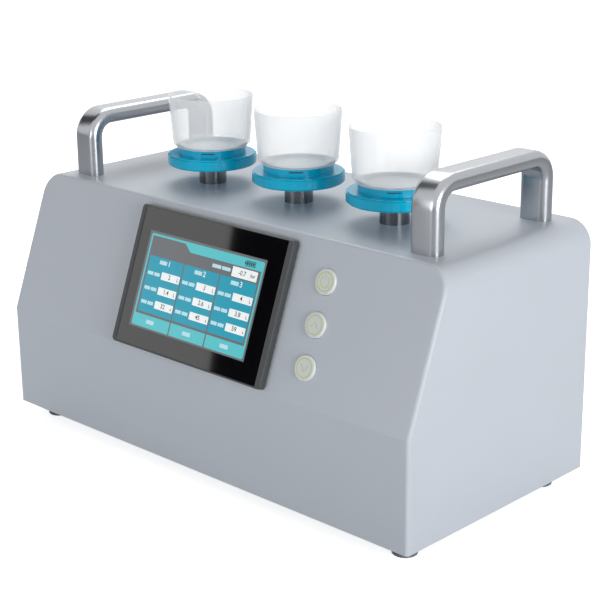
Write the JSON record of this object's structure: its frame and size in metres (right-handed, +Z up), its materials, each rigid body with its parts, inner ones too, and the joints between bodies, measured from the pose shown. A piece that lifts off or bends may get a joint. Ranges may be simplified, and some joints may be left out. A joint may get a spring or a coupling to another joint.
{
  "type": "environmental dna concentrator",
  "caption": "Bench instrument that draws water samples down through clear filter cups, with a sloping touch screen, push buttons and carrying handles.",
  "frame": {"origin": "on the floor, under the middle of the box round the whole instrument", "axes": "+X to the operator's right along the row of cups, +Y to the back, +Z up"},
  "size_m": [0.48, 0.2538, 0.3085],
  "materials": {
    "case_paint": "fine satin grey powder coat",
    "bracket_steel": "zinc-plated sheet",
    "screw_steel": "bright screws and nuts",
    "foot_rubber": "dark grey rubber",
    "handle_metal": "satin silver bar",
    "bezel_plastic": "dark grey moulding",
    "touch_glass": "black-bordered glossy glass",
    "display": "display with a lit page",
    "seal_rubber": "soft black seal",
    "gasket_grey": "thin grey gasket",
    "circuit_board": "green circuit board",
    "black_plastic": "black moulding",
    "button_plastic": "pale grey translucent cap",
    "post_steel": "polished steel",
    "base_blue": "glossy blue translucent moulding",
    "cup_clear": "clear moulded plastic",
    "membrane_white": "white filter membrane",
    "fitting_steel": "turned steel",
    "block_metal": "machined block",
    "hose_clear": "milky soft hose",
    "sensor_plastic": "white moulding",
    "battery_wrap": "wrapped battery pack"
  },
  "bodies": {
    "instrument": {"base_plate": "case_paint", "base_screws": "screw_steel", "battery_pack": "battery_wrap", "battery_strap": "bracket_steel", "button_board": "circuit_board", "button_carrier": "black_plastic", "channel_hoses": "hose_clear", "drain_fitting": "fitting_steel", "drain_hose": "hose_clear", "fan_frame": "black_plastic", "filter_post_1": "post_steel", "filter_post_2": "post_steel", "filter_post_3": "post_steel", "flow_sensors": "sensor_plastic", "fluid_bracket": "bracket_steel", "foot_screws": "screw_steel", "handle_screws": "screw_steel", "housing_shell": "case_paint", "lcd_module": "display", "left_handle": "handle_metal", "main_board": "circuit_board", "post_nuts": "screw_steel", "post_seals": "seal_rubber", "pressure_sensor": "fitting_steel", "pump_head": "black_plastic", "pump_hose": "hose_clear", "pump_motor": "fitting_steel", "pump_saddle": "black_plastic", "rear_panel": "case_paint", "rear_screws": "screw_steel", "right_handle": "handle_metal", "rubber_feet": "foot_rubber", "screen_back_cover": "black_plastic", "screen_bezel": "bezel_plastic", "screen_board": "circuit_board", "screen_clamps": "bracket_steel", "screen_gasket": "seal_rubber", "solenoid_valves": "sensor_plastic", "supply_socket": "black_plastic", "switch_housing": "black_plastic", "touch_glass": "touch_glass", "valve_manifold": "block_metal"},
    "power_push": {"power_button": "button_plastic"},
    "up_push": {"up_button": "button_plastic"},
    "down_push": {"down_button": "button_plastic"},
    "rocker": {"switch_rocker": "black_plastic"},
    "rotor": {"fan_rotor": "black_plastic"},
    "base_1": {"cup_base_1": "base_blue", "filter_membrane_1": "membrane_white", "cup_gasket_1": "gasket_grey"},
    "cup_1": {"clear_cup_1": "cup_clear"},
    "base_2": {"cup_base_2": "base_blue", "filter_membrane_2": "membrane_white", "cup_gasket_2": "gasket_grey"},
    "cup_2": {"clear_cup_2": "cup_clear"},
    "base_3": {"cup_base_3": "base_blue", "filter_membrane_3": "membrane_white", "cup_gasket_3": "gasket_grey"},
    "cup_3": {"clear_cup_3": "cup_clear"}
  },
  "joints": [
    {"name": "power_press", "type": "slide", "parent": "instrument", "child": "power_push", "axis": [0, 0.9357, -0.3528], "range_m": [0, 0.0012], "stiffness_N_per_m": 600},
    {"name": "up_press", "type": "slide", "parent": "instrument", "child": "up_push", "axis": [0, 0.9357, -0.3528], "range_m": [0, 0.0012], "stiffness_N_per_m": 600},
    {"name": "down_press", "type": "slide", "parent": "instrument", "child": "down_push", "axis": [0, 0.9357, -0.3528], "range_m": [0, 0.0012], "stiffness_N_per_m": 600},
    {"name": "base_1_lift", "type": "slide", "parent": "instrument", "child": "base_1", "axis": [0, 0, 1], "range_m": [0, 0.045]},
    {"name": "cup_1_lift", "type": "slide", "parent": "base_1", "child": "cup_1", "axis": [0, 0, 1], "range_m": [0, 0.05]},
    {"name": "base_2_lift", "type": "slide", "parent": "instrument", "child": "base_2", "axis": [0, 0, 1], "range_m": [0, 0.045]},
    {"name": "cup_2_lift", "type": "slide", "parent": "base_2", "child": "cup_2", "axis": [0, 0, 1], "range_m": [0, 0.05]},
    {"name": "base_3_lift", "type": "slide", "parent": "instrument", "child": "base_3", "axis": [0, 0, 1], "range_m": [0, 0.045]},
    {"name": "cup_3_lift", "type": "slide", "parent": "base_3", "child": "cup_3", "axis": [0, 0, 1], "range_m": [0, 0.05]},
    {"name": "switch_rock", "type": "hinge", "parent": "instrument", "child": "rocker", "pos_m": [-0.04, 0.10288, 0.052], "axis": [1, 0, 0], "range_deg": [-16, 0]},
    {"name": "fan_spin", "type": "hinge", "parent": "instrument", "child": "rotor", "pos_m": [0.13, 0.09688, 0.165], "axis": [0, 1, 0], "continuous": true}
  ]
}
